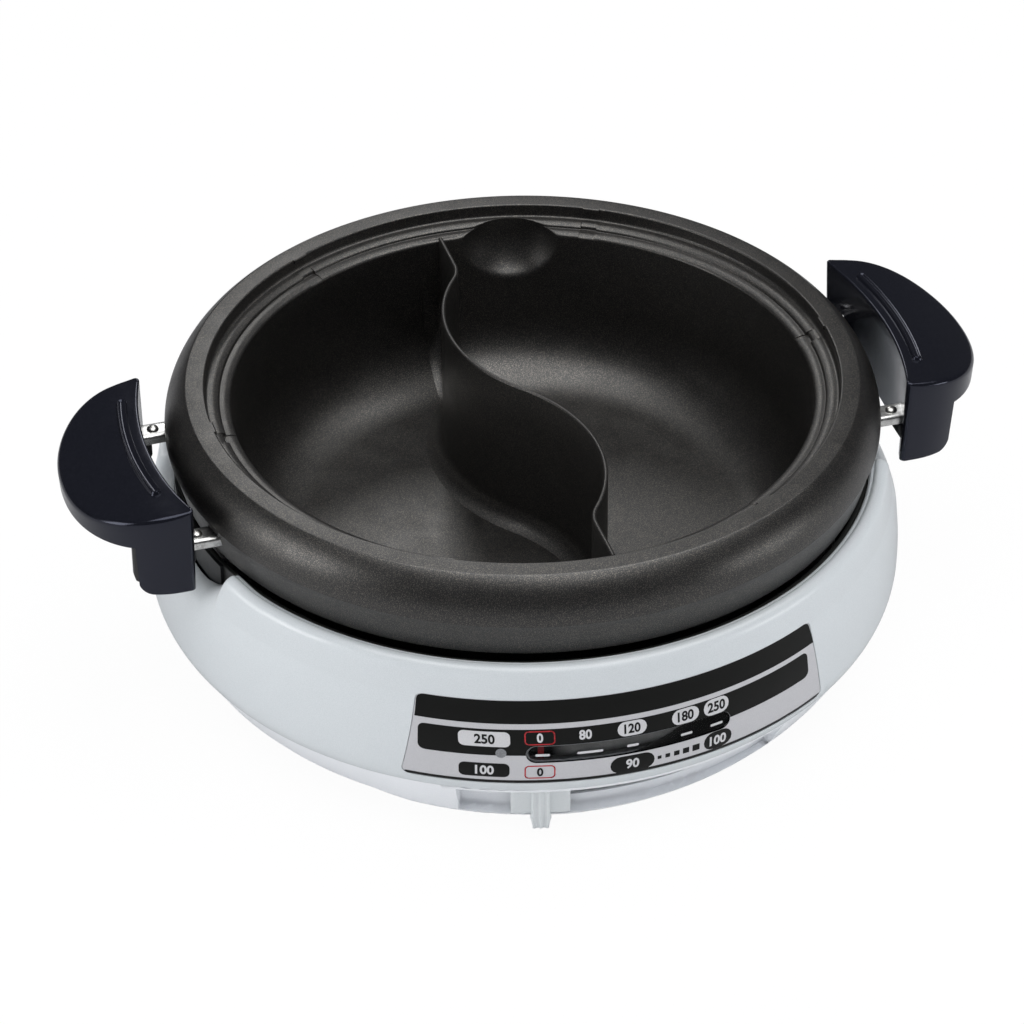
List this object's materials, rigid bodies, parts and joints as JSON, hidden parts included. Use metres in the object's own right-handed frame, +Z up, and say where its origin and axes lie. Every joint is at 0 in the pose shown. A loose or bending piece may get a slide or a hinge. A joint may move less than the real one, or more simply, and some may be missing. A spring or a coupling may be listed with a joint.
{
  "type": "electric hot pot",
  "caption": "Round countertop electric hot pot: divided non-stick pan with side handles in a pearl heating base with a lever control.",
  "frame": {"origin": "centre of the base on the surface it stands on", "axes": "+Z up; -Y towards the control panel; the handles lie along X"},
  "size_m": [0.524, 0.4218, 0.162],
  "materials": {
    "pan_nonstick": "cast, dark speckled non-stick coating",
    "handle_black": "moulded, polished",
    "cover_black": "moulded, fine satin texture",
    "bracket_steel": "pressed sheet, bright",
    "fastener_steel": "zinc plated",
    "casing_pearl": "moulded, pearl lacquer",
    "base_pearl": "moulded, satin pearl",
    "guard_black": "moulded, satin",
    "shield_grey": "moulded, satin",
    "panel_silver": "printed film on a moulded plate",
    "window_clear": "clear acrylic",
    "scale_grey": "moulded, satin",
    "pointer_red": "moulded",
    "lens_smoke": "clear smoke grey, moulded",
    "knob_pearl": "moulded, satin",
    "element_steel": "annealed sheath",
    "reflector_sheet": "bright aluminised sheet",
    "shield_sheet": "galvanised sheet",
    "ceramic_white": "fired, unglazed",
    "foot_rubber": "moulded",
    "contact_brass": "nickel plated",
    "phenolic_brown": "moulded phenolic",
    "sensor_aluminium": "turned",
    "spring_steel": "drawn wire",
    "inlet_black": "moulded",
    "block_cream": "moulded nylon",
    "lead_brown": "silicone sleeve",
    "lead_blue": "silicone sleeve",
    "lead_white": "silicone sleeve",
    "lead_green": "silicone sleeve"
  },
  "bodies": {
    "base": {"upper_casing": "casing_pearl", "bottom_cover": "base_pearl", "rubber_feet": "foot_rubber", "casing_screws": "fastener_steel", "shield_screws": "fastener_steel", "guard_ring": "guard_black", "saddle_shield_right": "shield_grey", "saddle_shield_left": "shield_grey", "heat_shield": "shield_sheet", "reflector_dish": "reflector_sheet", "shield_spacers": "fastener_steel", "heater_element": "element_steel", "element_clips": "shield_sheet", "terminal_ceramics": "ceramic_white", "pan_rests": "shield_sheet", "thermostat_body": "phenolic_brown", "sensor_spring": "spring_steel", "control_panel": "panel_silver", "panel_window": "window_clear", "scale_strip": "scale_grey", "lamp_lens": "lens_smoke", "pilot_lamp": "lens_smoke", "inlet_housing": "inlet_black", "inlet_pins": "contact_brass", "inlet_pole_plates": "shield_sheet", "terminal_block": "block_cream", "thermal_fuse": "contact_brass", "lead_live": "lead_brown", "lead_neutral": "lead_blue", "lead_fuse": "lead_blue", "lead_element": "lead_brown", "lead_lamp": "lead_white", "lead_earth": "lead_green"},
    "pan": {"divided_pan": "pan_nonstick", "handle_shell_right": "handle_black", "handle_cover_right": "cover_black", "bracket_right_front": "bracket_steel", "bracket_right_rear": "bracket_steel", "handle_shell_left": "handle_black", "handle_cover_left": "cover_black", "bracket_left_front": "bracket_steel", "bracket_left_rear": "bracket_steel", "bracket_bolts": "fastener_steel", "bracket_rivets": "bracket_steel", "handle_screws": "fastener_steel"},
    "lever": {"lever_spindle": "spring_steel", "lever_arm": "shield_sheet", "lever_knob": "knob_pearl", "lever_pointer": "pointer_red"},
    "sensor": {"sensor_cap": "sensor_aluminium"}
  },
  "joints": [
    {"name": "pan_lift", "type": "slide", "parent": "base", "child": "pan", "axis": [0, 0, 1], "range_m": [0, 0.12]},
    {"name": "lever_turn", "type": "hinge", "parent": "base", "child": "lever", "pos_m": [0, 0, 0.02], "axis": [0, 0, 1], "range_deg": [0, 26.4]},
    {"name": "sensor_press", "type": "slide", "parent": "base", "child": "sensor", "axis": [0, 0, -1], "range_m": [0, 0.002], "stiffness_N_per_m": 400, "springref_m": -0.003, "deforming": ["sensor_spring"]}
  ]
}
